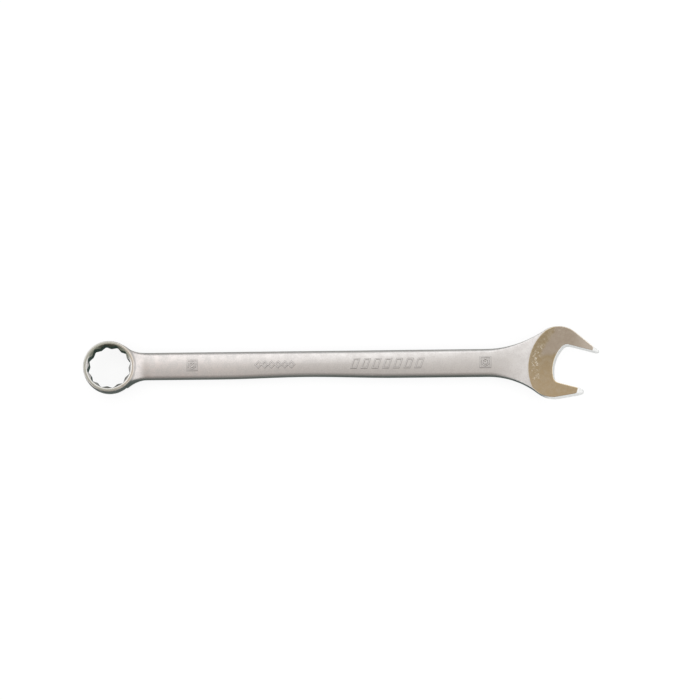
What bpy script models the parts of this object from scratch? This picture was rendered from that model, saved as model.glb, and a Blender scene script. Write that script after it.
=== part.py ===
"""Combination wrench for a 1 1/4 in hexagon: a 12-point box end, a fixed open end and a forged handle.

The whole wrench is one piece of steel. It lies on its underside: +X runs from the box end to the open end,
+Z is up, and the origin is the middle of its bounding box, at the level of the underside.
"""

import math

import bmesh
import bpy
from mathutils import Matrix, Vector

MM = 0.001

# Driving dimensions
ACROSS_FLATS = 31.75 * MM  # the hexagon that both ends turn
LENGTH = 430 * MM
HANDLE_WIDTH = 22.8 * MM
HANDLE_THICKNESS = 9 * MM
HEAD_THICKNESS = 13 * MM  # open end, face to face
BOX_HEIGHT = 15.5 * MM  # box end, rim to rim
BOX_RADIUS = 21.7 * MM  # at the widest part of its wall
BOX_Y = -1.2 * MM  # the box end's axis lies this far off the handle's line
BOX_OFFSET = math.radians(10)  # the box end's outer side is tipped up by this
JAW_ANGLE = math.radians(15)  # the jaw opens this far below the handle's line

# Handle
WAIST_NARROWING = 1.4 * MM  # all of it on the -Y edge
WAIST_X = -26 * MM
WAIST_REACH = 75 * MM  # the waist fades out this far to each side
HANDLE_CROWN = 0.7 * MM  # how much lower the broad faces are at their edges
HANDLE_EDGE_RADIUS = 3 * MM
NECK_EDGE_RADIUS = 2 * MM  # where the neck meets the open end
UPPER_FLARE_RADIUS = 88 * MM  # where the handle widens into the open end
LOWER_FLARE_RADIUS = 66 * MM
BOX_FLARE_RADIUS = 26 * MM
HEAD_RISE = 1.55 * MM  # the neck thickens by this on each face to meet the open end
HEAD_RISE_REACH = 18 * MM
BOX_RISE = 1.3 * MM
BOX_RISE_REACH = 7 * MM
NECK_BEND = 5 * MM  # half the length over which the neck turns up to the box end

# Open end, in the jaw's own plan: u along the opening, v across it, from the middle of the head
HEAD_Y = -0.8 * MM  # the middle of the head lies this far off the handle's line
JAW_CLEARANCE = 0.25 * MM
CROWN_RADIUS = 22 * MM
CROWN_U = -1.7 * MM
CROWN_V = 7.7 * MM
PRONG_TAPER = math.radians(24.5)
UPPER_PRONG_REACH = 29.4 * MM
LOWER_PRONG_REACH = 26 * MM
THROAT_U = -3.2 * MM
THROAT_RADIUS = 28 * MM
THROAT_FILLET = 5.5 * MM
FACE_ARC_RADIUS = 42 * MM  # the ground faces end in this arc at the neck
FACE_ARC_U = 16.9 * MM
HEAD_EDGE = 0.6 * MM

# Box end
BOX_WALL_DRAFT = 0.3 * MM  # the wall is this much nearer the axis at its edges than at its middle
BOX_EDGE_RADIUS = 0.9 * MM
BORE_POINTS = 12
BORE_CLEARANCE = 0.15 * MM
BORE_TURN = math.radians(12)  # the first point of the bore, from the handle's line
BORE_LEAD_IN_RADIUS = 18.7 * MM
BORE_LEAD_IN_DEPTH = 2.5 * MM
POINT_HALF_ANGLE = math.radians(1.6)  # half the rounding at a point of the bore
RIDGE_HALF_ANGLE = math.radians(1.0)

# Fineness of the curved surfaces
ARC_STEP = math.radians(6)
CREASE = math.radians(30)  # a sharper edge than this stays crisp in the shading
BOX_STEPS = 96
WALL_STEPS = 3
FACE_STEPS = 10
EDGE_STEPS = 4
NECK_STATION = 2 * MM
HANDLE_STATION = 10 * MM

BURIED = 0.3 * MM  # how far one shape's wall lies inside another's where they join


def polar(centre, radius, angle):
    """The point of a circle at an angle from +X."""
    return Vector((centre[0] + radius * math.cos(angle), centre[1] + radius * math.sin(angle)))


def arc(centre, radius, start, end, step=ARC_STEP):
    """Points along an arc, with both ends."""
    count = max(2, math.ceil(abs(end - start) / step))
    return [polar(centre, radius, start + (end - start) * i / count) for i in range(count + 1)]


def heading(start, end):
    """The angle of the direction from one point to another."""
    return math.atan2(end[1] - start[1], end[0] - start[0])


def circle_meeting(centre_a, radius_a, centre_b, radius_b, side):
    """Where two circles cross. side picks the crossing to the left (1) or right (-1) of the line a to b."""
    between = centre_b - centre_a
    gap = between.length
    along = (gap**2 + radius_a**2 - radius_b**2) / (2 * gap)
    across = math.sqrt(radius_a**2 - along**2)
    unit = between / gap
    return centre_a + unit * along + side * across * Vector((-unit.y, unit.x))


class Head:
    """The plan of the open end. The jaw's plan is turned by the jaw angle about the middle of the head."""

    def __init__(self):
        self.half_opening = (ACROSS_FLATS + JAW_CLEARANCE) / 2
        self.centre = Vector((0, HEAD_Y))
        self.flare_radius = {1: UPPER_FLARE_RADIUS, -1: LOWER_FLARE_RADIUS}
        self.centre.x = LENGTH / 2 - max(point.x for point in self.prong(1))
        self.arc_centre = self.plan(FACE_ARC_U, 0)

    def plan(self, u, v):
        """A point of the jaw's plan, in the wrench's plan."""
        turned = Vector((u, v))
        turned.rotate(Matrix.Rotation(-JAW_ANGLE, 2))
        return self.centre + turned

    def crown_centre(self, side):
        return self.plan(CROWN_U, side * CROWN_V)

    def tip(self, side):
        """Centre (u, v) and radius of a prong's rounded tip, which touches the taper and the jaw's flat."""
        reach = UPPER_PRONG_REACH if side > 0 else LOWER_PRONG_REACH
        touch_u = CROWN_U + CROWN_RADIUS * math.sin(PRONG_TAPER)
        touch_v = CROWN_V + CROWN_RADIUS * math.cos(PRONG_TAPER)
        apex_u = touch_u + (touch_v - self.half_opening) / math.tan(PRONG_TAPER)
        lean = 1 / math.tan(PRONG_TAPER / 2)
        radius = (apex_u - reach) / (lean - 1)
        return (reach - radius, side * (self.half_opening + radius)), radius

    def prong(self, side):
        """The outer edge of a prong, from its crown's top to the inner corner of its tip."""
        (tip_u, tip_v), radius = self.tip(side)
        crown = arc((CROWN_U, CROWN_V), CROWN_RADIUS, math.pi / 2 + ARC_STEP, math.pi / 2 - PRONG_TAPER)
        tip = arc((tip_u, abs(tip_v)), radius, math.pi / 2 - PRONG_TAPER, -math.pi / 2, 3 * ARC_STEP)
        return [self.plan(u, side * v) for u, v in crown + tip]

    def flare_centre(self, side):
        """Centre of the arc that joins the handle's edge to the crown."""
        radius = self.flare_radius[side]
        height = side * (HANDLE_WIDTH / 2 + radius)
        crown = self.crown_centre(side)
        reach = math.sqrt((radius + CROWN_RADIUS) ** 2 - (height - crown.y) ** 2)
        return Vector((crown.x - reach, height))

    def shoulder(self, side):
        """The head's edge from the end of the ground face, along the flare and the crown."""
        flare, crown, radius = self.flare_centre(side), self.crown_centre(side), self.flare_radius[side]
        start = circle_meeting(self.arc_centre, FACE_ARC_RADIUS, flare, radius, side)
        joint = heading(flare, crown)
        first = heading(flare, start)
        along_flare = arc(flare, radius, first, joint, ARC_STEP / 3)
        crown_top = heading(crown, self.prong(side)[0])
        back = (heading(crown, flare) - crown_top) % math.tau
        if side < 0:
            back -= math.tau
        along_crown = arc(crown, CROWN_RADIUS, crown_top + back, crown_top)
        return along_flare + along_crown[1:-1]

    def throat(self):
        """The closed end of the jaw, from its upper flat to its lower flat."""
        middle_u = THROAT_U + THROAT_RADIUS
        fillet_v = self.half_opening - THROAT_FILLET
        fillet_u = middle_u - math.sqrt((THROAT_RADIUS - THROAT_FILLET) ** 2 - fillet_v**2)
        turn = heading((middle_u, 0), (fillet_u, fillet_v))
        upper = arc((fillet_u, fillet_v), THROAT_FILLET, math.pi / 2, turn, 2 * ARC_STEP)
        bottom = arc((middle_u, 0), THROAT_RADIUS, turn, math.tau - turn, ARC_STEP / 1.5)
        lower = [(u, -v) for u, v in reversed(upper)]
        return [self.plan(u, v) for u, v in upper[:-1] + bottom + lower[1:]]

    def face_arc(self, start, end):
        """The arc at the neck where the ground faces end, between two points of it."""
        first = heading(self.arc_centre, start) % math.tau
        last = heading(self.arc_centre, end) % math.tau
        return arc(self.arc_centre, FACE_ARC_RADIUS, first, last, ARC_STEP / 1.5)

    def outline(self):
        """The head's whole edge, clockwise from the upper end of the face arc."""
        upper = self.shoulder(1) + self.prong(1)
        lower = list(reversed(self.prong(-1))) + list(reversed(self.shoulder(-1)))
        return upper + self.throat() + lower + self.face_arc(lower[-1], upper[0])[1:-1]


class Box:
    """The box end's place and its turned profile."""

    def __init__(self):
        self.profile = self.half_profile()
        reach = max(r * math.cos(BOX_OFFSET) + z * math.sin(BOX_OFFSET) for r, z in self.profile)
        drop = max(r * math.sin(BOX_OFFSET) + z * math.cos(BOX_OFFSET) for r, z in self.profile)
        self.centre = Vector((reach - LENGTH / 2, BOX_Y, drop - HEAD_THICKNESS / 2))
        self.placement = Matrix.Translation(self.centre) @ Matrix.Rotation(BOX_OFFSET, 4, "Y")

    def half_profile(self):
        """(radius, height) from the middle of the wall up to the rim's flat."""
        top = BOX_HEIGHT / 2
        wall_top = top - BOX_EDGE_RADIUS
        heights = [i / WALL_STEPS for i in range(WALL_STEPS)]
        wall = [(BOX_RADIUS - BOX_WALL_DRAFT * share**2, wall_top * share) for share in heights]
        corner = (BOX_RADIUS - BOX_WALL_DRAFT - BOX_EDGE_RADIUS, wall_top)
        return wall + [tuple(p) for p in arc(corner, BOX_EDGE_RADIUS, 0, math.pi / 2, 3 * ARC_STEP)]


def bore_outline():
    """The 12-point bore: two hexagons, one turned by half a point's pitch, with points and ridges blunted."""
    half_flats = ACROSS_FLATS / 2 + BORE_CLEARANCE
    pitch = math.tau / BORE_POINTS
    point_radius = half_flats / math.cos(pitch - POINT_HALF_ANGLE)
    ridge_radius = half_flats / math.cos(pitch / 2 - RIDGE_HALF_ANGLE)
    outline = []
    for turn in range(BORE_POINTS):
        point = BORE_TURN + pitch * turn
        ridge = point + pitch / 2
        outline += [polar((0, 0), point_radius, point + a) for a in (-POINT_HALF_ANGLE, POINT_HALF_ANGLE)]
        outline += [polar((0, 0), ridge_radius, ridge + a) for a in (-RIDGE_HALF_ANGLE, RIDGE_HALF_ANGLE)]
    return outline


def stepped(values, start, end, step):
    """Adds evenly spaced values from start up to end, about step apart."""
    count = math.ceil((end - start) / step)
    values += [start + (end - start) * i / count for i in range(count)]


class Handle:
    """The handle and its two necks, as cross-sections along X."""

    def __init__(self, head, box):
        self.head, self.box = head, box
        self.bend_x = box.centre.x + box.centre.z / math.tan(BOX_OFFSET)
        height, apart = HANDLE_WIDTH / 2 + BOX_FLARE_RADIUS, BOX_FLARE_RADIUS + BOX_RADIUS - BURIED
        reach = {side: math.sqrt(apart**2 - (height - side * BOX_Y) ** 2) for side in (1, -1)}
        self.box_flare_x = {side: box.centre.x + reach[side] for side in (1, -1)}
        self.start_x = box.centre.x + max(reach.values()) * (BOX_RADIUS - BURIED) / apart
        self.head_end_x = max(head.shoulder(side)[0].x for side in (1, -1)) + NECK_STATION

    def half_width(self, x, side):
        """From the handle's line to its edge. Only the lower edge (side -1) has the waist."""
        width = HANDLE_WIDTH / 2
        from_waist = abs(x - WAIST_X) / WAIST_REACH
        if side < 0 and from_waist < 1:
            width -= WAIST_NARROWING * math.cos(from_waist * math.pi / 2) ** 2
        if x < self.box_flare_x[side]:
            across = self.box_flare_x[side] - x
            width += BOX_FLARE_RADIUS - math.sqrt(BOX_FLARE_RADIUS**2 - across**2)
        flare_x, radius = self.head.flare_centre(side).x, self.head.flare_radius[side]
        if x > flare_x:
            grown = radius - math.sqrt(radius**2 - (x - flare_x) ** 2)
            width += grown - BURIED * (x - flare_x) / (self.head_end_x - flare_x)
        return width

    def half_thickness(self, x, y):
        """From the handle's middle plane to its broad face, rising to meet each end."""
        from_head = (Vector((x, y)) - self.head.arc_centre).length - FACE_ARC_RADIUS
        from_box = (Vector((x, y)) - self.box.centre.xy).length - BOX_RADIUS
        near_head = min(max(1 - from_head / HEAD_RISE_REACH, 0), 1)
        near_box = min(max(1 - from_box / BOX_RISE_REACH, 0), 1)
        return HANDLE_THICKNESS / 2 + HEAD_RISE * near_head**2 + BOX_RISE * near_box**2

    def middle_height(self, x):
        """The neck's middle plane turns up towards the box end."""
        along = self.bend_x - x
        if along < -NECK_BEND:
            return 0
        if along > NECK_BEND:
            return along * math.tan(BOX_OFFSET)
        return (along + NECK_BEND) ** 2 / (4 * NECK_BEND) * math.tan(BOX_OFFSET)

    def edge_radius(self, x):
        """The rounding along the handle's edges, which tightens towards the open end."""
        towards_head = min(max((x - self.head.flare_centre(1).x) / (self.head_end_x - x + MM), 0), 1)
        return HANDLE_EDGE_RADIUS + (NECK_EDGE_RADIUS - HANDLE_EDGE_RADIUS) * towards_head

    def section(self, x):
        """One cross-section, clockwise seen from the open end, from the left end of its upper face."""
        radius, middle = self.edge_radius(x), self.middle_height(x)
        left, right = -self.half_width(x, -1) + radius, self.half_width(x, 1) - radius
        upper = []
        for i in range(FACE_STEPS + 1):
            across = i / FACE_STEPS
            y = left + (right - left) * across
            fall = HANDLE_CROWN * (2 * across - 1) ** 2
            upper.append((y, self.half_thickness(x, y) - fall))
        quarter, fine = math.pi / 2, math.pi / 2 / EDGE_STEPS
        left_corner = arc((left, upper[0][1] - radius), radius, 2 * quarter, quarter, fine)
        right_corner = arc((right, upper[-1][1] - radius), radius, quarter, 0, fine)
        upper = [tuple(p) for p in left_corner[:-1]] + upper + [tuple(p) for p in right_corner[1:]]
        lower = [(y, -z) for y, z in reversed(upper)]
        return [Vector((x, y, middle + z)) for y, z in upper + lower]

    def stations(self):
        """Where the cross-sections stand: close together in the necks, far apart along the handle."""
        neck_end = max(self.box_flare_x.values()) + BOX_RISE_REACH
        head_neck = min(self.head.flare_centre(side).x for side in (1, -1))
        places = []
        stepped(places, self.start_x, neck_end, NECK_STATION)
        stepped(places, neck_end, head_neck, HANDLE_STATION)
        stepped(places, head_neck, self.head_end_x, NECK_STATION)
        return places + [self.head_end_x]


def finish_mesh(bm, name, material):
    """Turns a bmesh into an object, its faces pointing out, shaded smooth with its crisp edges kept."""
    bmesh.ops.recalc_face_normals(bm, faces=bm.faces)
    mesh = bpy.data.meshes.new(name)
    bm.to_mesh(mesh)
    bm.free()
    mesh.materials.append(material)
    mesh.shade_smooth()
    mesh.set_sharp_from_angle(angle=CREASE)
    obj = bpy.data.objects.new(name, mesh)
    bpy.context.collection.objects.link(obj)
    return obj


def skin(name, rings, material):
    """A closed solid through rings of equally many points."""
    bm = bmesh.new()
    loops = [[bm.verts.new(point) for point in ring] for ring in rings]
    for near, far in zip(loops, loops[1:]):
        for i in range(len(near)):
            bm.faces.new((near[i - 1], near[i], far[i], far[i - 1]))
    bm.faces.new(loops[0])
    bm.faces.new(reversed(loops[-1]))
    return finish_mesh(bm, name, material)


def slab(name, outline, thickness, edge, material):
    """A flat plate with an outline, centred on the handle's middle plane, its long edges eased."""
    bm = bmesh.new()
    base = bm.faces.new([bm.verts.new((x, y, -thickness / 2)) for x, y in outline])
    grown = bmesh.ops.extrude_face_region(bm, geom=[base])["geom"]
    raised = [part for part in grown if isinstance(part, bmesh.types.BMVert)]
    bmesh.ops.translate(bm, verts=raised, vec=(0, 0, thickness))
    rims = [e for e in bm.edges if abs(e.verts[0].co.z - e.verts[1].co.z) < thickness / 2]
    bmesh.ops.bevel(bm, geom=rims, offset=edge, segments=2, profile=0.5, affect="EDGES")
    return finish_mesh(bm, name, material)


def circle(radius, height):
    """A level ring of points about the box end's axis."""
    turns = [math.tau * i / BOX_STEPS for i in range(BOX_STEPS)]
    return [Vector((radius * math.cos(a), radius * math.sin(a), height)) for a in turns]


def box_blank(box, material):
    """The box end before it is bored."""
    upper = [circle(radius, height) for radius, height in reversed(box.profile)]
    lower = [circle(radius, -height) for radius, height in box.profile[1:]]
    return skin("box_blank", upper + lower, material)


def bore_cutter(material):
    """The 12-point bore, longer than the box end is high."""
    levels = [[Vector((x, y, z)) for x, y in bore_outline()] for z in (-BOX_HEIGHT, BOX_HEIGHT)]
    return skin("bore_cutter", levels, material)


def lead_in_cutter(name, side, material):
    """The cone that eases one mouth of the bore. It runs past the rim by its own depth."""
    slope = (BORE_LEAD_IN_RADIUS - ACROSS_FLATS / 2) / BORE_LEAD_IN_DEPTH
    inner = side * (BOX_HEIGHT / 2 - BORE_LEAD_IN_DEPTH)
    outer = side * (BOX_HEIGHT / 2 + BORE_LEAD_IN_DEPTH)
    mouth = circle(BORE_LEAD_IN_RADIUS + slope * BORE_LEAD_IN_DEPTH, outer)
    return skin(name, [circle(ACROSS_FLATS / 2, inner), mouth], material)


def steel(name, colour, roughness):
    """Chrome-plated steel with its own finish."""
    material = bpy.data.materials.new(name)
    material.use_nodes = True
    shader = material.node_tree.nodes["Principled BSDF"]
    shader.inputs["Base Color"].default_value = (*colour, 1)
    shader.inputs["Metallic"].default_value = 1
    shader.inputs["Roughness"].default_value = roughness
    return material


def combine(body, tool, operation):
    """Joins a helper shape to the body, or cuts it away. The helper itself isn't part of the wrench."""
    modifier = body.modifiers.new(tool.name, "BOOLEAN")
    modifier.operation = operation
    modifier.object = tool
    modifier.solver = "EXACT"
    modifier.material_mode = "TRANSFER"
    tool.hide_render = True
    tool.display_type = "WIRE"


def main():
    for obj in list(bpy.data.objects):
        bpy.data.objects.remove(obj)

    satin = steel("satin_chrome", (0.56, 0.54, 0.53), 0.38)
    ground = steel("ground_chrome", (0.50, 0.43, 0.33), 0.18)

    head, box = Head(), Box()
    outline = head.outline()
    handle = Handle(head, box)

    wrench = skin("wrench", [handle.section(x) for x in handle.stations()], satin)
    open_end = slab("open_end", outline, HEAD_THICKNESS, HEAD_EDGE, ground)
    box_end = box_blank(box, satin)
    cutters = [bore_cutter(satin)]
    cutters += [lead_in_cutter(f"lead_in_{i}", side, satin) for i, side in enumerate((1, -1))]

    combine(wrench, open_end, "UNION")
    combine(wrench, box_end, "UNION")
    for cutter in cutters:
        combine(wrench, cutter, "DIFFERENCE")

    # The open end reaches furthest to both sides, and both ends rest on the underside's level.
    lowest, highest = min(p.y for p in outline), max(p.y for p in outline)
    seat = bpy.data.objects.new("underside", None)
    bpy.context.collection.objects.link(seat)
    seat.location = (0, -(lowest + highest) / 2, HEAD_THICKNESS / 2)
    for obj in (wrench, open_end, box_end, *cutters):
        obj.parent = seat
    for obj in (box_end, *cutters):
        obj.matrix_local = box.placement


main()
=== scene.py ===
"""Looks for the combination wrench: one forged piece, satin chrome with ground faces on the open end.

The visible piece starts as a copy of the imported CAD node. It is remeshed finely, and every vertex is moved
onto the forging's own surface, which has what the CAD leaves out: the fillets round the box end, the forging
draft, the relieved jaw tips and the raised marks. Lengths are in metres, in the row's frame.
"""

import math

import bmesh
import bpy
import numpy as np
from mathutils import Matrix, Vector


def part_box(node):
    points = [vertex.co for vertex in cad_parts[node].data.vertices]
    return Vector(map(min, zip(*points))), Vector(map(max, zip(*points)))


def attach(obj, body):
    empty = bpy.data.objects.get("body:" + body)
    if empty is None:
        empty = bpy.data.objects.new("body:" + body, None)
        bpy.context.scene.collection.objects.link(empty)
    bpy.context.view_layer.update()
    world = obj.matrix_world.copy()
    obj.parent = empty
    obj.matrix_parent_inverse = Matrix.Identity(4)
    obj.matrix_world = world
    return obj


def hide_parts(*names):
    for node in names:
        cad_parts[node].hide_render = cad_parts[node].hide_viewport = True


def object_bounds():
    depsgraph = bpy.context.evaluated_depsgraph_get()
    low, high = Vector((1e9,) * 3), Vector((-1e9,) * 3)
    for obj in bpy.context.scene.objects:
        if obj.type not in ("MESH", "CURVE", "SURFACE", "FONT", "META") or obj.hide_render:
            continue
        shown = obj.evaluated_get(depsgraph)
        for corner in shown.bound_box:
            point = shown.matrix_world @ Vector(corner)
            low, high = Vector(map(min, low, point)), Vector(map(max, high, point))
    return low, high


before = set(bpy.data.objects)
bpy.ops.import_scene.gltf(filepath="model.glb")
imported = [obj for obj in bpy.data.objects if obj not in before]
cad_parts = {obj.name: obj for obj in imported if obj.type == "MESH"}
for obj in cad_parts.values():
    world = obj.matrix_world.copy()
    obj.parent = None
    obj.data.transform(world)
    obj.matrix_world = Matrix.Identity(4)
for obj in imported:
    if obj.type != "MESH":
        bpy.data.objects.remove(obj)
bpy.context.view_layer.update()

MM = 0.001
WRENCH_LOW, WRENCH_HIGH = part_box("wrench")

# Sizes shared with the CAD part
ACROSS_FLATS = 31.75 * MM
LENGTH = WRENCH_HIGH.x - WRENCH_LOW.x
HANDLE_WIDTH = 22.8 * MM
HANDLE_THICKNESS = 9 * MM
HEAD_THICKNESS = 13 * MM
BOX_HEIGHT = 15.5 * MM
BOX_RADIUS = 21.7 * MM
BOX_Y = -1.2 * MM
BOX_OFFSET = math.radians(10)
JAW_ANGLE = math.radians(15)
WAIST_NARROWING = 1.4 * MM
WAIST_X = -26 * MM
WAIST_REACH = 75 * MM
HANDLE_EDGE_RADIUS = 3 * MM
UPPER_FLARE_RADIUS = 88 * MM
LOWER_FLARE_RADIUS = 66 * MM
BOX_FLARE_RADIUS = 26 * MM
NECK_BEND = 5 * MM
HEAD_Y = -0.8 * MM
JAW_CLEARANCE = 0.25 * MM
CROWN_RADIUS = 22 * MM
CROWN_U = -1.7 * MM
CROWN_V = 7.7 * MM
PRONG_TAPER = math.radians(24.5)
UPPER_PRONG_REACH = 29.4 * MM
LOWER_PRONG_REACH = 26 * MM
THROAT_U = -3.2 * MM
THROAT_RADIUS = 28 * MM
THROAT_FILLET = 5.5 * MM
FACE_ARC_RADIUS = 42 * MM
FACE_ARC_U = 16.9 * MM
BOX_WALL_DRAFT = 0.3 * MM
BOX_EDGE_RADIUS = 0.9 * MM
BORE_POINTS = 12
BORE_CLEARANCE = 0.15 * MM
BORE_TURN = math.radians(12)
BORE_LEAD_IN_RADIUS = 18.7 * MM
BORE_LEAD_IN_DEPTH = 2.5 * MM
POINT_HALF_ANGLE = math.radians(1.6)
RIDGE_HALF_ANGLE = math.radians(1.0)

# How finely the surface is drawn
ARC_STEP = math.radians(2.5)
EDGE_STATION = 12 * MM
NECK_STATION = 1.5 * MM
VOXEL = 0.45 * MM
SURFACE_PASSES = 4  # along the mesh's normals
SLOPE_PASSES = 5  # then down the distance's own slope
SETTLED = 0.01 * MM

# What the forging adds to the CAD's shape, or has softer than it
HEAD_RISE_REACH = 26 * MM
BOX_RISE = 3.05 * MM
BOX_RISE_REACH = 13 * MM
FORGING_DRAFT = math.tan(math.radians(3))
FLASH_HALF_HEIGHT = 0.7 * MM  # the trimmed flash round the parting line
FLASH_PROUD = 0.12 * MM
HANDLE_CROWN = 1.0 * MM
CROWN_FADE = (10 * MM, 140 * MM)  # the broad faces flatten between these places along X
CROWN_LEFT = 0.45
HEAD_EDGE_RADIUS = 0.9 * MM
HEAD_ALLOWANCE = 1.1 * MM  # ground off each face of the open end
GROUND_EDGE = 0.25 * MM
CUT_EDGE = 0.3 * MM
BOX_FILLET = 1.8 * MM
BOX_FALL = 1.5  # how steeply the neck dives inside the box end's rim
BOX_FALL_START = 1.3 * MM
BOX_NECK_EDGE_RADIUS = 1.5 * MM
FACE_ARC_INSET = 2 * MM  # the grinding stops this far inside the CAD's face arc
TIP_RELIEF_REACH = 4.6 * MM  # the ground faces stop this far from the tips
TIP_RELIEF_SLOPE = 0.62
TIP_RELIEF_ROUND = 1.5 * MM

# Raised marks, on the handle's middle line
MARK_HEIGHT = 0.34 * MM
MARK_EDGE = 0.22 * MM
MARK_LINE = 0.42 * MM  # half the width of a raised line
FRAME_HALF_SIDE = 4.1 * MM
FRAME_PLACES = (-122 * MM, 123 * MM)
NUT_RADIUS = 2.5 * MM
BAR_PLACE, BAR_COUNT, BAR_PITCH = 42 * MM, 7, 8.9 * MM
BAR_HALF_HEIGHT, BAR_HALF_WIDTH, BAR_SLANT = 3.6 * MM, 2.1 * MM, 0.35
DOT_PLACE, DOT_COUNT, DOT_PITCH, DOT_RADIUS = -52 * MM, 6, 5.6 * MM, 2.5 * MM
MARK_MARGIN = 1.2 * MM
MARK_CUTS = 3
MARK_FOOT_SHADE_WIDTH = 0.35 * MM  # the painted shade beside a raised line's foot

# Finishes
SATIN_WARM = (0.79, 0.735, 0.715, 1)
SATIN_COOL = (0.76, 0.74, 0.725, 1)
SATIN_CLOUDED = (0.67, 0.645, 0.63, 1)
# The box end's rim is darker and greenish on its outer side as painted shade and reflection, and lighter
# beside the neck as painted light
RIM_OUTER_PAINTED_SHADE = (0.56, 0.565, 0.505, 1)
RIM_INNER_PAINTED_LIGHT = (0.66, 0.60, 0.53, 1)  # beside the neck, lighter: painted light
CUT = (0.72, 0.70, 0.68, 1)
CUT_PAINTED_SHADE = (0.25, 0.26, 0.21, 1)  # painted shade, on the bore's +Y side
# The walls round the jaw and the tips' noses are brushed steel painted near-white and barely metallic: a
# painted highlight
BRUSHED_HIGHLIGHT_WHITE = (0.87, 0.87, 0.86, 1)
BRUSHED_METALLIC = 0.12
BRUSHED_FROM = (0, 8 * MM)  # the satin gives way to it over this stretch inside the face arc
# The ground faces' khaki is a painted reflection of warm brown surroundings on the steel
KHAKI_REFLECTION_DARK = (0.54, 0.445, 0.285, 1)
KHAKI_REFLECTION_LIGHT = (0.71, 0.575, 0.38, 1)
MAUVE = (0.64, 0.56, 0.465, 1)
MAUVE_TIP = (0.86, 0.79, 0.71, 1)
MARK_FOOT_SHADE = 0.62  # painted shade: how much of the satin's brightness is left in the marks' corners
STAIN = (0.85, 0.80, 0.70, 1)
FACE_SKIN = 0.12 * MM  # a place this near a flat face belongs to it
PEBBLE_SCALE = 1000
PEBBLE_DEPTH = 0.04 * MM
CLOUD_SCALE = 160
WARM_STRETCH = (-0.2, 0.05)  # along X, from the warm satin to the cool
MOTTLE_COLOUR = (0.38, 0.62)
MOTTLE_ROUGH = (0.35, 0.65, 0.46, 0.36)
RIM_ROUGH, CUT_ROUGH, BRUSHED_ROUGH, GROUND_ROUGH = 0.36, 0.26, 0.5, 0.17
SHADE_STRETCH = (4 * MM, 11 * MM)  # past the box end's middle, where the bore darkens with painted shade
GRAIN = 0.35  # how strongly the pebble shows on the satin

# The ground faces' stains and their grey patch
STAIN_SCALE = 420
STAIN_ROUGH = 0.3
STAIN_NEAR = (0.0015, 0.003)  # inside the face arc, where the stains start
STAIN_FAR = (0.0095, 0.0065)  # and where they stop
STAIN_LOW = (-0.017, -0.012)
STAIN_HIGH = (0.018, 0.004, 0.35, 1.0)
STAIN_SPOTS = (0.52, 0.64, 0, 0.75)
STAIN_HAZE = (0.35, 0.7, 0, 0.2)
WAVER_SCALE, WAVER_WIDTH = 110, 0.008
PATCH_SLANT = -0.5
PATCH_START = (0.168, 0.172)
PATCH_HEIGHT = (0.008, 0.0135)
PATCH_TIP = (0.192, 0.208)
KHAKI_REFLECTION_STRETCH = (-0.026, 0.022)  # along Y, the painted reflection from light to dark

# The studio
WHITE = (1, 1, 1, 1)
TABLE_GLOW = 0.82  # of the floor's own light
CARD_DARK = (0.045, 0.075, 0.066, 1)
CARD_NORTH = (0.52, 0.53, 0.52, 1)
FLOOR_TONES = ((0.19, 0.19, 0.19, 1), (0.21, 0.21, 0.21, 1))
FLOOR_SIZE = 12
FLOOR_GAP = 0.05 * MM
CARD_EDGE = (0.016, 0.034)  # along Y, from the dark card to the grey one
CARD_ENDS = (0.27, 0.34)  # the card ends between these places, left and right
SKY_SOUTH = (0.33, 0.30, 0.275, 1)
SKY_NORTH = (1.42, 1.42, 1.42, 1)
SKY_ASIDE = (1.3, 1.3, 1.3, 1)
SKY_OVERHEAD = (0.53, 0.49, 0.45, 1)
SKY_LOW = (0.06, 0.085, 0.078, 1)
OVERHEAD = (-0.02, 0.02, 1.0)
OVERHEAD_SPREAD = (27, 15)  # degrees from overhead where the dim part starts and is full
HORIZON_LIGHT = 0.5  # how much of the sky's light is left near the horizon
SKY_TURN = (-0.45, 0.42)  # the direction's Y, from the south's sky to the north's
SKY_SIDES = (0.38, 0.62)
SKY_FADE = (0.28, 0.55)
SKY_FLOOR = (0.30, 0.02)
ROOM_WHITE = (1.06, 1.06, 1.06, 1)


def polar(centre, radius, angle):
    """The point of a circle at an angle from +X."""
    return Vector((centre[0] + radius * math.cos(angle), centre[1] + radius * math.sin(angle)))


def arc(centre, radius, start, end, step=ARC_STEP):
    """Points along an arc, with both ends."""
    count = max(2, math.ceil(abs(end - start) / step))
    return [polar(centre, radius, start + (end - start) * i / count) for i in range(count + 1)]


def heading(start, end):
    """The angle of the direction from one point to another."""
    return math.atan2(end[1] - start[1], end[0] - start[0])


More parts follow.
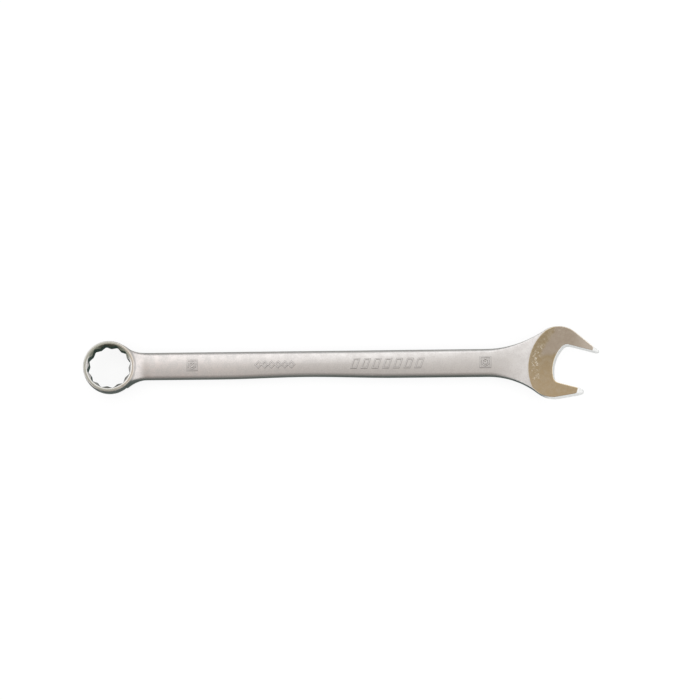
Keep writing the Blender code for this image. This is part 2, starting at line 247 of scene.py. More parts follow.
class Head:
    """The plan of the open end. The jaw's plan (u, v) is turned by the jaw angle about the head's middle."""

    def __init__(self):
        self.half_opening = (ACROSS_FLATS + JAW_CLEARANCE) / 2
        self.centre = Vector((0, HEAD_Y))
        self.flare_radius = {1: UPPER_FLARE_RADIUS, -1: LOWER_FLARE_RADIUS}
        self.centre.x = LENGTH / 2 - max(point.x for point in self.prong(1))
        self.arc_centre = self.plan(FACE_ARC_U, 0)

    def plan(self, u, v):
        turned = Vector((u, v))
        turned.rotate(Matrix.Rotation(-JAW_ANGLE, 2))
        return self.centre + turned

    def jaw_plan(self, x, y):
        """(u, v) of many points at once."""
        across, along = x - self.centre.x, y - self.centre.y
        cos, sin = math.cos(JAW_ANGLE), math.sin(JAW_ANGLE)
        return across * cos - along * sin, across * sin + along * cos

    def reach(self, side):
        return UPPER_PRONG_REACH if side > 0 else LOWER_PRONG_REACH

    def prong(self, side):
        """The outer edge of a prong, from its crown's top to the inner corner of its rounded tip."""
        touch_u = CROWN_U + CROWN_RADIUS * math.sin(PRONG_TAPER)
        touch_v = CROWN_V + CROWN_RADIUS * math.cos(PRONG_TAPER)
        apex_u = touch_u + (touch_v - self.half_opening) / math.tan(PRONG_TAPER)
        radius = (apex_u - self.reach(side)) / (1 / math.tan(PRONG_TAPER / 2) - 1)
        tip = (self.reach(side) - radius, self.half_opening + radius)
        crown = arc((CROWN_U, CROWN_V), CROWN_RADIUS, math.pi / 2, math.pi / 2 - PRONG_TAPER)
        nose = arc(tip, radius, math.pi / 2 - PRONG_TAPER, -math.pi / 2, 4 * ARC_STEP)
        return [self.plan(u, side * v) for u, v in crown + nose]

    def flare_centre(self, side):
        """Centre of the arc that joins the handle's edge to the crown."""
        radius = self.flare_radius[side]
        height = side * (HANDLE_WIDTH / 2 + radius)
        crown = self.plan(CROWN_U, side * CROWN_V)
        return Vector((crown.x - math.sqrt((radius + CROWN_RADIUS) ** 2 - (height - crown.y) ** 2), height))

    def edge(self, side):
        """From the handle's edge, along the flare and the crown, to the tip of the prong."""
        flare, crown = self.flare_centre(side), self.plan(CROWN_U, side * CROWN_V)
        start, end = -side * math.pi / 2, heading(flare, crown)
        along_flare = arc(flare, self.flare_radius[side], start, end, ARC_STEP / 2)
        top = heading(crown, self.prong(side)[0])
        back = (heading(crown, flare) - top) % math.tau
        if side < 0:
            back -= math.tau
        return along_flare + arc(crown, CROWN_RADIUS, top + back, top)[1:-1] + self.prong(side)

    def slot(self):
        """The jaw's opening: flats, fillets and throat, running out past the tips."""
        middle_u = THROAT_U + THROAT_RADIUS
        fillet_v = self.half_opening - THROAT_FILLET
        fillet_u = middle_u - math.sqrt((THROAT_RADIUS - THROAT_FILLET) ** 2 - fillet_v**2)
        turn = heading((middle_u, 0), (fillet_u, fillet_v))
        upper = arc((fillet_u, fillet_v), THROAT_FILLET, math.pi / 2, turn, 2 * ARC_STEP)
        bottom = arc((middle_u, 0), THROAT_RADIUS, turn, math.tau - turn)
        lower = [(u, -v) for u, v in reversed(upper)]
        beyond = 2 * UPPER_PRONG_REACH
        around = upper[:-1] + bottom + lower[1:]
        mouth_top, mouth_bottom = (beyond, self.half_opening), (beyond, -self.half_opening)
        return [self.plan(u, v) for u, v in [mouth_top] + around + [mouth_bottom]]


class Box:
    """The box end's place. Its axis leans towards the handle."""

    def __init__(self):
        top, wall_top = BOX_HEIGHT / 2, BOX_HEIGHT / 2 - BOX_EDGE_RADIUS
        corner = (BOX_RADIUS - BOX_WALL_DRAFT - BOX_EDGE_RADIUS, wall_top)
        profile = [(BOX_RADIUS, 0)] + [tuple(p) for p in arc(corner, BOX_EDGE_RADIUS, 0, math.pi / 2)]
        cos, sin = math.cos(BOX_OFFSET), math.sin(BOX_OFFSET)
        reach = max(r * cos + z * sin for r, z in profile)
        drop = max(r * sin + z * cos for r, z in profile)
        self.centre = Vector((reach - LENGTH / 2, BOX_Y, drop - HEAD_THICKNESS / 2))
        self.top, self.wall_top = top, wall_top

    def local(self, x, y, z):
        """(distance from the axis, angle round it, height along it) of many points."""
        cos, sin = math.cos(BOX_OFFSET), math.sin(BOX_OFFSET)
        along, level = x - self.centre.x, z - self.centre.z
        across, height = along * cos - level * sin, along * sin + level * cos
        return np.hypot(across, y - self.centre.y), np.arctan2(y - self.centre.y, across), height


HEAD, BOX = Head(), Box()


def half_width(x, side):
    """From the handle's line to its edge. Only the lower edge (side -1) has the waist."""
    width = HANDLE_WIDTH / 2
    from_waist = abs(x - WAIST_X) / WAIST_REACH
    if side < 0 and from_waist < 1:
        width -= WAIST_NARROWING * math.cos(from_waist * math.pi / 2) ** 2
    flare_x = box_flare_x(side)
    if x < flare_x:
        width += BOX_FLARE_RADIUS - math.sqrt(BOX_FLARE_RADIUS**2 - (flare_x - x) ** 2)
    return width


def box_flare_x(side):
    """Where the handle's edge starts to widen into the box end."""
    height = HANDLE_WIDTH / 2 + BOX_FLARE_RADIUS - side * BOX_Y
    return BOX.centre.x + math.sqrt((BOX_FLARE_RADIUS + BOX_RADIUS) ** 2 - height**2)


def side_edge(side):
    """One whole edge of the plan, from inside the box end to the tip of the prong."""
    touch = BOX_RADIUS / (BOX_FLARE_RADIUS + BOX_RADIUS)
    start = BOX.centre.x + (box_flare_x(side) - BOX.centre.x) * touch
    places = np.concatenate(
        (
            np.arange(start, box_flare_x(side), NECK_STATION),
            np.arange(box_flare_x(side), HEAD.flare_centre(side).x - NECK_STATION, EDGE_STATION),
        )
    )
    return [Vector((x, side * half_width(x, side))) for x in places] + HEAD.edge(side)


def bore_outline():
    """The 12-point bore, with its points and ridges blunted."""
    pitch = math.tau / BORE_POINTS
    half_flats = ACROSS_FLATS / 2 + BORE_CLEARANCE
    point_radius = half_flats / math.cos(pitch - POINT_HALF_ANGLE)
    ridge_radius = half_flats / math.cos(pitch / 2 - RIDGE_HALF_ANGLE)
    outline = []
    for turn in range(BORE_POINTS):
        middle = BORE_TURN + pitch * turn
        ridge = middle + pitch / 2
        outline += [polar((0, 0), point_radius, middle + a) for a in (-POINT_HALF_ANGLE, POINT_HALF_ANGLE)]
        outline += [polar((0, 0), ridge_radius, ridge + a) for a in (-RIDGE_HALF_ANGLE, RIDGE_HALF_ANGLE)]
    return outline


PLAN = side_edge(1) + side_edge(-1)[::-1] + [BOX.centre.xy]
SLOT = HEAD.slot()
BORE = bore_outline()
# The plan's extremes across the handle are those of the CAD's box.
SEAT = Vector((0, WRENCH_LOW.y - min(p.y for p in PLAN), WRENCH_LOW.z + HEAD_THICKNESS / 2))


def outline_distance(outline, x, y):
    """Distance in plan from many points to a closed outline, negative inside it."""
    nearest = np.full(x.shape, np.inf)
    inside = np.zeros(x.shape, bool)
    for start, end in zip(outline, outline[1:] + outline[:1]):
        run, rise = end[0] - start[0], end[1] - start[1]
        along, across = x - start[0], y - start[1]
        share = np.clip((along * run + across * rise) / (run * run + rise * rise), 0, 1)
        nearest = np.minimum(nearest, (along - share * run) ** 2 + (across - share * rise) ** 2)
        if rise:
            between = (start[1] > y) != (end[1] > y)
            inside ^= between & (along < across * run / rise)
    return np.where(inside, -1, 1) * np.sqrt(nearest)


def smooth_step(low, high, value):
    share = np.clip((value - low) / (high - low), 0, 1)
    return share * share * (3 - 2 * share)


def smooth_union(first, second, width):
    """The nearer of two surfaces, with a fillet where they meet."""
    overlap = np.maximum(width - np.abs(first - second), 0) / width
    return np.minimum(first, second) - overlap * overlap * width / 4


def smooth_cut(body, tool, width):
    """The body with a tool's shape taken away, its new edge eased."""
    return -smooth_union(-body, tool, width)


def rounded(beside, above, radius):
    """A rounded corner between a side wall and a face, given the distances to both."""
    beside, above = beside + radius, above + radius
    outside = np.hypot(np.maximum(beside, 0), np.maximum(above, 0))
    return outside + np.minimum(np.maximum(beside, above), 0) - radius


def middle_height(x):
    """The neck's middle plane turns up towards the box end."""
    along = BOX.centre.x + BOX.centre.z / math.tan(BOX_OFFSET) - x
    bend = (along + NECK_BEND) ** 2 / (4 * NECK_BEND)
    return np.where(along < -NECK_BEND, 0, np.where(along > NECK_BEND, along, bend)) * math.tan(BOX_OFFSET)


def box_gap(x, y):
    """Distance in plan to the box end's wall, negative inside it."""
    return np.hypot(x - BOX.centre.x, y - BOX.centre.y) - BOX_RADIUS


def nearness_to_box(x, y):
    """From 0 where the neck starts to thicken to 1 at the box end."""
    return np.clip(1 - box_gap(x, y) / BOX_RISE_REACH, 0, 1)


def half_thickness(x, y, plan):
    """From the middle plane to the broad face, before grinding."""
    from_head = np.hypot(x - HEAD.arc_centre.x, y - HEAD.arc_centre.y) - (FACE_ARC_RADIUS - FACE_ARC_INSET)
    from_box = box_gap(x, y)
    near_head = np.clip(1 - from_head / HEAD_RISE_REACH, 0, None)
    near_box = nearness_to_box(x, y)
    meet = (HEAD_THICKNESS - HANDLE_THICKNESS) / 2
    rise = np.minimum(meet * near_head**2, meet + HEAD_ALLOWANCE)
    crown = HANDLE_CROWN * (1 - (1 - CROWN_LEFT) * smooth_step(*CROWN_FADE, x))
    out = np.clip((HANDLE_WIDTH / 2 + plan) / (HANDLE_WIDTH / 2 - HANDLE_EDGE_RADIUS), 0, 1.3)
    fall = crown * out**2 * (1 - np.clip(near_head, 0, 1)) * (1 - near_box)
    thickness = HANDLE_THICKNESS / 2 + rise + BOX_RISE * near_box**2 - fall
    thickness -= BOX_FALL * np.maximum(-from_box - BOX_FALL_START, 0)
    u, v = HEAD.jaw_plan(x, y)
    for side in (1, -1):
        past = u - (HEAD.reach(side) - TIP_RELIEF_REACH)
        relieved = HEAD_THICKNESS / 2 - TIP_RELIEF_SLOPE * past
        nosed = smooth_union(thickness, relieved, TIP_RELIEF_ROUND)
        thickness = np.where((side * v > 0) & (past > -3 * TIP_RELIEF_REACH), nosed, thickness)
    return thickness


def mark_distance(x, y):
    """Distance in plan to the middle of the nearest raised line of the marks."""
    nearest = np.full(x.shape, 1.0)
    for place in FRAME_PLACES:
        across, up = np.abs(x - place), np.abs(y)
        square = np.abs(np.maximum(across, up) - FRAME_HALF_SIDE)
        nut = np.maximum(across, across / 2 + up * math.sqrt(3) / 2) - NUT_RADIUS
        hole = np.hypot(across, up) - NUT_RADIUS / 2
        nearest = np.minimum(nearest, np.minimum(square, np.minimum(np.abs(nut), np.abs(hole))))
    for i in range(BAR_COUNT):
        across = np.abs(x - BAR_PLACE - BAR_PITCH * (i - (BAR_COUNT - 1) / 2) - BAR_SLANT * y)
        bar = np.abs(np.maximum(across - BAR_HALF_WIDTH, np.abs(y) - BAR_HALF_HEIGHT))
        nearest = np.minimum(nearest, bar)
    for i in range(DOT_COUNT):
        across = np.abs(x - DOT_PLACE - DOT_PITCH * (i - (DOT_COUNT - 1) / 2))
        nearest = np.minimum(nearest, np.abs(across + np.abs(y) - DOT_RADIUS) / math.sqrt(2))
    return nearest


def mark_areas():
    """(middle, half length, half height) of each stretch of the handle that has marks."""
    frames = [(place, FRAME_HALF_SIDE, FRAME_HALF_SIDE) for place in FRAME_PLACES]
    bars = (BAR_PLACE, BAR_PITCH * BAR_COUNT / 2, BAR_HALF_HEIGHT)
    dots = (DOT_PLACE, DOT_PITCH * DOT_COUNT / 2, DOT_RADIUS)
    return frames + [bars, dots]


def forging_distance(points):
    """Distance from many points to the surface of the whole wrench, negative inside it."""
    x, y, z = points.T
    plan = outline_distance(PLAN, x, y)
    level = z - middle_height(x)
    depth = np.abs(level)
    thickness = half_thickness(x, y, plan)
    raised = 1 - smooth_step(MARK_LINE - MARK_EDGE / 2, MARK_LINE + MARK_EDGE / 2, mark_distance(x, y))
    thickness = thickness + np.where(level > 0, MARK_HEIGHT * raised, 0)
    towards_head = smooth_step(FRAME_PLACES[1], HEAD.centre.x - FACE_ARC_RADIUS / 2, x)
    edge = HANDLE_EDGE_RADIUS + (HEAD_EDGE_RADIUS - HANDLE_EDGE_RADIUS) * towards_head
    edge = edge + (BOX_NECK_EDGE_RADIUS - HANDLE_EDGE_RADIUS) * nearness_to_box(x, y)
    flash = FLASH_PROUD * (1 - smooth_step(FLASH_HALF_HEIGHT * 0.8, FLASH_HALF_HEIGHT * 1.2, depth))
    body = rounded(plan + depth * FORGING_DRAFT - flash, depth - thickness, edge)
    ground = smooth_cut(body, HEAD_THICKNESS / 2 - np.abs(z), GROUND_EDGE)
    body = np.where(x > 0, ground, body)

    radius, angle, height = BOX.local(x, y, z)
    wall = BOX_RADIUS - BOX_WALL_DRAFT * (height / BOX.wall_top) ** 2
    ring = rounded(radius - wall, np.abs(height) - BOX.top, BOX_EDGE_RADIUS)
    body = smooth_union(body, ring, BOX_FILLET)

    near_box = radius < BOX_RADIUS
    bore = np.full(x.shape, 1.0)
    bore[near_box] = outline_distance(
        BORE, (radius * np.cos(angle))[near_box], (radius * np.sin(angle))[near_box]
    )
    slope = (BORE_LEAD_IN_RADIUS - ACROSS_FLATS / 2) / BORE_LEAD_IN_DEPTH
    mouth = ACROSS_FLATS / 2 + slope * (np.abs(height) - BOX.top + BORE_LEAD_IN_DEPTH)
    lead_in = (radius - mouth) / math.hypot(1, slope)
    tool = np.minimum(bore, lead_in)
    at_head = x > HEAD.centre.x - FACE_ARC_RADIUS
    tool[at_head] = outline_distance(SLOT, x[at_head], y[at_head])
    return smooth_cut(body, tool, CUT_EDGE), tool


def copy_of_cad():
    """A copy of the CAD node with its doubled vertices merged."""
    bm = bmesh.new()
    bm.from_mesh(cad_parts["wrench"].data)
    bmesh.ops.remove_doubles(bm, verts=bm.verts, dist=0.001 * MM)
    mesh = bpy.data.meshes.new("wrench_forging")
    bm.to_mesh(mesh)
    bm.free()
    mesh.materials.clear()
    mesh.transform(Matrix.Translation(-SEAT))
    obj = bpy.data.objects.new("wrench_forging", mesh)
    bpy.context.scene.collection.objects.link(obj)
    return obj


def remesh_evenly(obj):
    """Replaces the object's mesh with a fine, even one of the same shape."""
    old = obj.data
    remesh = obj.modifiers.new("even", "REMESH")
    remesh.mode = "VOXEL"
    remesh.voxel_size = VOXEL
    graph = bpy.context.evaluated_depsgraph_get()
    fine = bpy.data.meshes.new_from_object(obj.evaluated_get(graph))
    obj.modifiers.clear()
    obj.data = fine
    bpy.data.meshes.remove(old)
    fine.name = "wrench_forging"


def press_tips(mesh):
    """The relieved tips are far thinner than the CAD's, so they are pressed flat before they settle."""
    points = coordinates(mesh)
    at_head = points[:, 0] > HEAD.centre.x
    x, y, _z = points[at_head].T
    points[at_head, 2] *= np.minimum(half_thickness(x, y, -HEAD_THICKNESS) / (HEAD_THICKNESS / 2), 1)
    place_vertices(mesh, points)


def refine_marks(mesh):
    """Finer faces where the marks rise from the upper face."""
    bm = bmesh.new()
    bm.from_mesh(mesh)

    def has_marks(vert):
        x, y, z = vert.co
        return z > 0 and any(
            abs(x - middle) < half_length + MARK_MARGIN and abs(y) < half_height + MARK_MARGIN
            for middle, half_length, half_height in mark_areas()
        )

    marked = {vert for vert in bm.verts if has_marks(vert)}
    edges = [edge for edge in bm.edges if all(vert in marked for vert in edge.verts)]
    bmesh.ops.subdivide_edges(bm, edges=edges, cuts=MARK_CUTS, use_grid_fill=True)
    bm.to_mesh(mesh)
    bm.free()


def coordinates(mesh):
    flat = np.empty(len(mesh.vertices) * 3, np.float32)
    mesh.vertices.foreach_get("co", flat)
    return flat.reshape(-1, 3).astype(float)


def vertex_normals(mesh):
    flat = np.empty(len(mesh.vertices) * 3, np.float32)
    mesh.vertices.foreach_get("normal", flat)
    return flat.reshape(-1, 3).astype(float)


def place_vertices(mesh, points):
    mesh.vertices.foreach_set("co", points.astype(np.float32).ravel())
    mesh.update()


def settle(mesh):
    """Moves every vertex onto the forging's surface. Returns how near each is to a machined wall."""
    points = coordinates(mesh)
    gap, wall_gap = forging_distance(points)
    for turn in range(SURFACE_PASSES + SLOPE_PASSES):
        place_vertices(mesh, points)
        far = np.abs(gap) > SETTLED
        left = points[far]
        if turn < SURFACE_PASSES:
            slope = vertex_normals(mesh)[far]
        else:
            ahead = [forging_distance(left + SETTLED * axis)[0] for axis in np.eye(3)]
            slope = (np.stack(ahead, axis=1) - gap[far][:, None]) / SETTLED
            slope /= np.maximum((slope**2).sum(axis=1), 0.25)[:, None]
        points[far] = left - slope * np.clip(gap[far], -VOXEL, VOXEL)[:, None]
        gap[far], wall_gap[far] = forging_distance(points[far])
    place_vertices(mesh, points)
    return wall_gap


def add_mask(mesh, name, share):
    """Keeps a number from 0 to 1 on each vertex, for the material."""
    mask = mesh.attributes.new(name, "FLOAT", "POINT")
    mask.data.foreach_set("value", share.astype(np.float32))


def build_wrench():
    obj = copy_of_cad()
    remesh_evenly(obj)
    press_tips(obj.data)
    settle(obj.data)
    # Settling crumples the steps that the forging's fillets swallow, so the mesh is made even once more.
    remesh_evenly(obj)
    mesh = obj.data
    refine_marks(mesh)
    wall_gap = settle(mesh)
    x, y, z = coordinates(mesh).T
    beside_mark = np.abs(mark_distance(x, y) - MARK_LINE - MARK_EDGE / 2)
    add_mask(mesh, "machined", 1 - smooth_step(CUT_EDGE / 2, CUT_EDGE, wall_gap))
    # A mask of painted shade along the feet of the raised marks
    add_mask(mesh, "mark_foot_shade", np.where(z > 0, 1 - smooth_step(0, MARK_FOOT_SHADE_WIDTH, beside_mark), 0))
    mesh.transform(Matrix.Translation(SEAT))
    mesh.shade_smooth()
    return obj


def connect(tree, value, socket):
    """Links a socket, or sets a plain value."""
    if isinstance(value, bpy.types.NodeSocket):
        tree.links.new(value, socket)
    else:
        socket.default_value = value


def add_node(tree, kind, inputs=None, **settings):
    node = tree.nodes.new(kind)
    for name, value in settings.items():
        setattr(node, name, value)
    for name, value in (inputs or {}).items():
        connect(tree, value, node.inputs[name])
    return node


def calculate(tree, operation, first, second=0.0, third=0.0):
    return add_node(tree, "ShaderNodeMath", {0: first, 1: second, 2: third}, operation=operation).outputs[0]


def ramp(tree, value, low, high, start=0.0, end=1.0):
    """A value mapped smoothly from low..high to start..end."""
    inputs = {"Value": value, "From Min": low, "From Max": high, "To Min": start, "To Max": end}
    return add_node(tree, "ShaderNodeMapRange", inputs, interpolation_type="SMOOTHSTEP").outputs[0]


def blend(tree, share, first, second):
    """Two colours mixed."""
    node = add_node(tree, "ShaderNodeMix", data_type="RGBA")
    connect(tree, share, node.inputs[0])
    connect(tree, first, node.inputs[6])
    connect(tree, second, node.inputs[7])
    return node.outputs[2]


def noise(tree, vector, scale, detail=2.0, rough=0.5):
    inputs = {"Vector": vector, "Scale": scale, "Detail": detail, "Roughness": rough}
    return add_node(tree, "ShaderNodeTexNoise", inputs).outputs["Fac"]


def chosen(tree, share, first, second):
    """Two plain values mixed."""
    node = add_node(tree, "ShaderNodeMix", data_type="FLOAT")
    connect(tree, share, node.inputs[0])
    connect(tree, first, node.inputs[2])
    connect(tree, second, node.inputs[3])
    return node.outputs[0]


def times(tree, first, second):
    return calculate(tree, "MULTIPLY", first, second)


def plus(tree, first, second):
    return calculate(tree, "ADD", first, second)


def height_mask(tree, place, centre, axis, face):
    """Where a place lies at or beyond a flat face, measured along an axis to both sides of a centre."""
    away = add_node(tree, "ShaderNodeVectorMath", {0: place, 1: centre}, operation="SUBTRACT").outputs[0]
    along = add_node(tree, "ShaderNodeVectorMath", {0: away, 1: axis}, operation="DOT_PRODUCT")
    level = calculate(tree, "ABSOLUTE", along.outputs["Value"])
    return ramp(tree, level, face - FACE_SKIN, face - FACE_SKIN / 3)


def satin_skin(tree, place, x):
    """Colour, roughness and grain of the forged skin: pebbled, faintly clouded, warmer by the box end."""
    pebble = noise(tree, place, PEBBLE_SCALE, 3, 0.6)
    cloud = noise(tree, place, CLOUD_SCALE, 3, 0.6)
    mottle = plus(tree, times(tree, pebble, 0.5), times(tree, cloud, 0.5))
    clean = blend(tree, ramp(tree, x, *WARM_STRETCH), SATIN_WARM, SATIN_COOL)
    colour = blend(tree, ramp(tree, mottle, *MOTTLE_COLOUR), SATIN_CLOUDED, clean)
    return colour, ramp(tree, mottle, *MOTTLE_ROUGH), pebble


def ground_skin(tree, place, x, y, inside_arc):
    """Colour and roughness of the ground faces: khaki as a painted reflection, darker towards +Y, greyer on
    the upper prong, rubbed pale in places.
    """
    swirl = noise(tree, place, STAIN_SCALE, 4, 0.7)
    beside_arc = times(tree, ramp(tree, inside_arc, *STAIN_NEAR), ramp(tree, inside_arc, *STAIN_FAR))
    low_half = times(tree, ramp(tree, y, *STAIN_LOW), ramp(tree, y, *STAIN_HIGH))
    stain = times(tree, times(tree, beside_arc, low_half), ramp(tree, swirl, *STAIN_SPOTS))

    waver = times(tree, noise(tree, place, WAVER_SCALE, 3), WAVER_WIDTH)
    past_line = plus(tree, calculate(tree, "MULTIPLY_ADD", y, PATCH_SLANT, x), waver)
    above_line = ramp(tree, plus(tree, y, waver), *PATCH_HEIGHT)
    patch = times(tree, ramp(tree, past_line, *PATCH_START), above_line)
    grey = blend(tree, ramp(tree, x, *PATCH_TIP), MAUVE, MAUVE_TIP)
    # Painted reflection: khaki, lighter towards -Y and darker towards +Y
    khaki_reflection_and_stains = blend(tree, ramp(tree, y, *KHAKI_REFLECTION_STRETCH), KHAKI_REFLECTION_LIGHT, KHAKI_REFLECTION_DARK)
    khaki_reflection_and_stains = blend(tree, patch, khaki_reflection_and_stains, grey)
    haze = ramp(tree, noise(tree, place, 2 * CLOUD_SCALE, 3), *STAIN_HAZE)
    khaki_reflection_and_stains = blend(tree, haze, khaki_reflection_and_stains, STAIN)
    return blend(tree, stain, khaki_reflection_and_stains, STAIN), plus(tree, GROUND_ROUGH, times(tree, stain, STAIN_ROUGH))


def chrome_material():
    """Satin chrome on the forged skin, ground chrome on the flat faces with a painted khaki reflection,
    brushed walls round the jaw painted near-white as a painted highlight. Painted shade in the bore and at
    the marks' feet, painted shade and light on the box end's rim.
    """
    material = bpy.data.materials.new("chrome_plate")
    material.use_nodes = True
    tree = material.node_tree
    shader = tree.nodes["Principled BSDF"]
    place = add_node(tree, "ShaderNodeTexCoord").outputs["Object"]
    x, y, _z = add_node(tree, "ShaderNodeSeparateXYZ", {0: place}).outputs
    flat_place = add_node(tree, "ShaderNodeCombineXYZ", {0: x, 1: y}).outputs[0]
    arc_place = (*(HEAD.arc_centre + SEAT.xy), 0)
    from_arc = add_node(tree, "ShaderNodeVectorMath", {0: flat_place, 1: arc_place}, operation="DISTANCE")
    inside_arc = calculate(tree, "SUBTRACT", FACE_ARC_RADIUS - FACE_ARC_INSET, from_arc.outputs["Value"])

    # Where each finish is
    at_head = calculate(tree, "GREATER_THAN", x, FRAME_PLACES[1])
    ground = times(tree, at_head, height_mask(tree, place, (0, 0, SEAT.z), (0, 0, 1), HEAD_THICKNESS / 2))
    # Where the head's walls get their painted highlight
    brushed_and_highlit = times(tree, at_head, ramp(tree, inside_arc, *BRUSHED_FROM))
    box_centre, box_axis = BOX.centre + SEAT, (math.sin(BOX_OFFSET), 0, math.cos(BOX_OFFSET))
    at_box = calculate(tree, "LESS_THAN", x, BOX.centre.x + BOX_RADIUS)
    rim = times(tree, at_box, height_mask(tree, place, box_centre, box_axis, BOX.top))
    machined = add_node(tree, "ShaderNodeAttribute", attribute_name="machined").outputs["Fac"]
    cut = times(tree, machined, calculate(tree, "SUBTRACT", 1.0, at_head))

    satin, satin_rough, pebble = satin_skin(tree, place, x)
    mark_foot_shade = add_node(tree, "ShaderNodeAttribute", attribute_name="mark_foot_shade").outputs["Fac"]
    # Painted shade: the satin darkens at the feet of the raised marks
    satin = blend(tree, mark_foot_shade, satin, [MARK_FOOT_SHADE * part for part in SATIN_CLOUDED[:3]] + [1])
    # Painted shade and light across the rim, from its outer side to the neck
    rim_colour_and_painted_light = blend(tree, ramp(tree, x, BOX.centre.x, BOX.centre.x + BOX_RADIUS), RIM_OUTER_PAINTED_SHADE, RIM_INNER_PAINTED_LIGHT)
    # Painted shade: the bore darkens towards its +Y side
    shade_from, shade_to = [BOX.centre.y + past for past in SHADE_STRETCH]
    bore_colour_and_painted_shade = blend(tree, ramp(tree, y, shade_from, shade_to), CUT, CUT_PAINTED_SHADE)
    khaki_reflection_and_stains, khaki_rough = ground_skin(tree, place, x, y, inside_arc)
    layers = (
        (rim, rim_colour_and_painted_light, RIM_ROUGH),
        (cut, bore_colour_and_painted_shade, CUT_ROUGH),
        (brushed_and_highlit, BRUSHED_HIGHLIGHT_WHITE, BRUSHED_ROUGH),
        (ground, khaki_reflection_and_stains, khaki_rough),
    )
    colour, rough = satin, satin_rough
    for share, layer_colour, layer_rough in layers:
        colour = blend(tree, share, colour, layer_colour)
        rough = chosen(tree, share, rough, layer_rough)
    connect(tree, colour, shader.inputs["Base Color"])
    connect(tree, rough, shader.inputs["Roughness"])
    dull = times(tree, brushed_and_highlit, calculate(tree, "SUBTRACT", 1.0, ground))
    connect(tree, ramp(tree, dull, 0, 1, 1, BRUSHED_METALLIC), shader.inputs["Metallic"])

    smooth = calculate(tree, "MAXIMUM", ground, machined)
    grain = ramp(tree, smooth, 0, 1, GRAIN, 0)
    bump = add_node(tree, "ShaderNodeBump", {"Strength": grain, "Distance": PEBBLE_DEPTH, "Height": pebble})
    connect(tree, bump.outputs[0], shader.inputs["Normal"])
    return material


def floor_material():
    """A pale light table. The chrome mirrors a dark card on it, greyer to the north."""
    material = bpy.data.materials.new("floor_paper")
    material.use_nodes = True
    tree = material.node_tree
    paper = tree.nodes["Principled BSDF"]
    place = add_node(tree, "ShaderNodeTexCoord").outputs["Object"]
    tone = blend(tree, noise(tree, place, 6), *FLOOR_TONES)
    connect(tree, tone, paper.inputs["Base Color"])
    paper.inputs["Roughness"].default_value = 0.9
    paper.inputs["Specular IOR Level"].default_value = 0
    paper.inputs["Emission Color"].default_value = WHITE
    paper.inputs["Emission Strength"].default_value = TABLE_GLOW
    x, y, _z = add_node(tree, "ShaderNodeSeparateXYZ", {0: place}).outputs
    cards = blend(tree, ramp(tree, y, *CARD_EDGE), CARD_DARK, CARD_NORTH)
    beyond = ramp(tree, calculate(tree, "ABSOLUTE", x), *CARD_ENDS)
    cards = blend(tree, beyond, cards, WHITE)
    card = add_node(tree, "ShaderNodeEmission", {"Color": cards, "Strength": 1.0})
    mirrored = add_node(tree, "ShaderNodeLightPath").outputs["Is Glossy Ray"]
    mixed = add_node(tree, "ShaderNodeMixShader", {0: mirrored, 1: paper.outputs[0], 2: card.outputs[0]})
    connect(tree, mixed.outputs[0], tree.nodes["Material Output"].inputs["Surface"])
    return material


def build_floor():
    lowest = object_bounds()[0][2]
    bpy.ops.mesh.primitive_plane_add(size=FLOOR_SIZE, location=(0, 0, lowest - FLOOR_GAP))
    floor = bpy.context.object
    floor.name = "floor"
    floor.data.materials.append(floor_material())


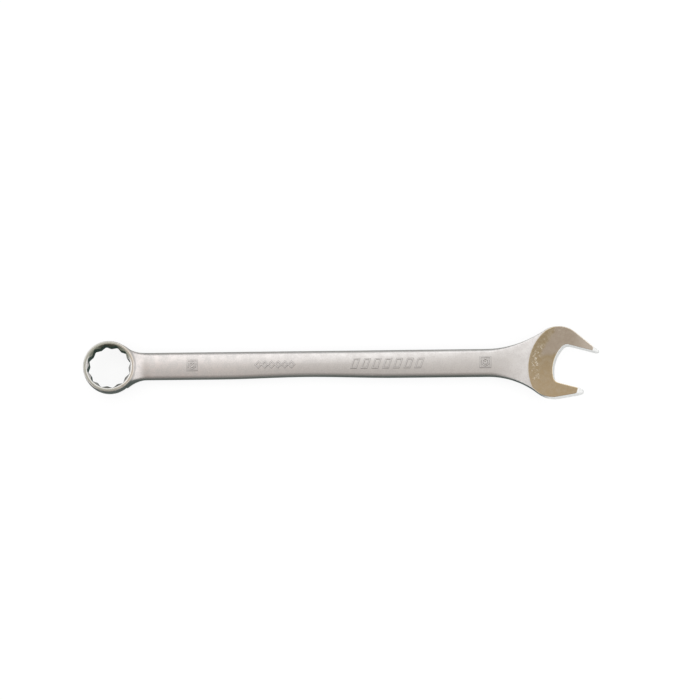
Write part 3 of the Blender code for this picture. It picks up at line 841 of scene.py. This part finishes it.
def build_world():
    """White all round for the floor. The chrome mirrors a studio: bright north, dim overhead, dark below."""
    world = bpy.data.worlds.new("studio")
    bpy.context.scene.world = world
    world.use_nodes = True
    tree = world.node_tree
    direction = add_node(tree, "ShaderNodeTexCoord").outputs["Generated"]
    x, y, z = add_node(tree, "ShaderNodeSeparateXYZ", {0: direction}).outputs
    sky = blend(tree, ramp(tree, y, *SKY_TURN), SKY_SOUTH, SKY_NORTH)
    # The left and right stay bright, for the neck's slope and the tips
    aside = ramp(tree, calculate(tree, "ABSOLUTE", x), *SKY_SIDES)
    sky = blend(tree, aside, sky, SKY_ASIDE)
    overhead = add_node(tree, "ShaderNodeVectorMath", {0: direction, 1: OVERHEAD}, operation="DOT_PRODUCT")
    dim_from, dim_to = [math.cos(math.radians(spread)) for spread in OVERHEAD_SPREAD]
    dim = ramp(tree, overhead.outputs["Value"], dim_from, dim_to)
    sky = blend(tree, dim, sky, SKY_OVERHEAD)
    faded = add_node(tree, "ShaderNodeVectorMath", {0: sky}, operation="SCALE")
    connect(tree, ramp(tree, z, *SKY_FADE, HORIZON_LIGHT, 1), faded.inputs["Scale"])
    low = times(tree, ramp(tree, z, *SKY_FLOOR), calculate(tree, "SUBTRACT", 1.0, aside))
    sky = blend(tree, low, faded.outputs[0], SKY_LOW)
    mirrored = add_node(tree, "ShaderNodeLightPath").outputs["Is Glossy Ray"]
    seen = blend(tree, mirrored, ROOM_WHITE, sky)
    connect(tree, seen, tree.nodes["Background"].inputs["Color"])


# The camera stands over the wrench, a little towards the open end and the lower edge.
VIEW_TOWARDS_HEAD = math.radians(10)
VIEW_BELOW = math.radians(9)
VIEW_ROLL = math.radians(-0.9)
VIEW_DISTANCE = 2.2
VIEW_FIELD = 1.341 * LENGTH
FRAME_RIGHT = 10.1 * MM  # the picture's middle lies this far right of the wrench's and above it
FRAME_UP = 12.4 * MM


def build_camera():
    camera = bpy.data.objects.new("camera", bpy.data.cameras.new("camera"))
    bpy.context.scene.collection.objects.link(camera)
    back = Vector(
        (
            math.sin(VIEW_TOWARDS_HEAD),
            -math.sin(VIEW_BELOW) * math.cos(VIEW_TOWARDS_HEAD),
            math.cos(VIEW_BELOW) * math.cos(VIEW_TOWARDS_HEAD),
        )
    )
    level_right = Vector((0, 1, 0)).cross(back).normalized()
    level_up = back.cross(level_right)
    right = level_right * math.cos(VIEW_ROLL) - level_up * math.sin(VIEW_ROLL)
    up = back.cross(right)
    aim = Vector((0, 0, SEAT.z)) + right * FRAME_RIGHT + up * FRAME_UP
    turn = Matrix((right, up, back)).transposed().to_4x4()
    camera.matrix_world = Matrix.Translation(aim + back * VIEW_DISTANCE) @ turn
    camera.data.lens = camera.data.sensor_width * VIEW_DISTANCE / VIEW_FIELD
    camera.data.clip_start = 0.05
    camera.data.clip_end = 50
    bpy.context.scene.camera = camera


wrench = build_wrench()
wrench.data.materials.append(chrome_material())
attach(wrench, "root")
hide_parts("wrench")
build_floor()
build_world()
build_camera()
bpy.context.scene.view_settings.view_transform = "Standard"
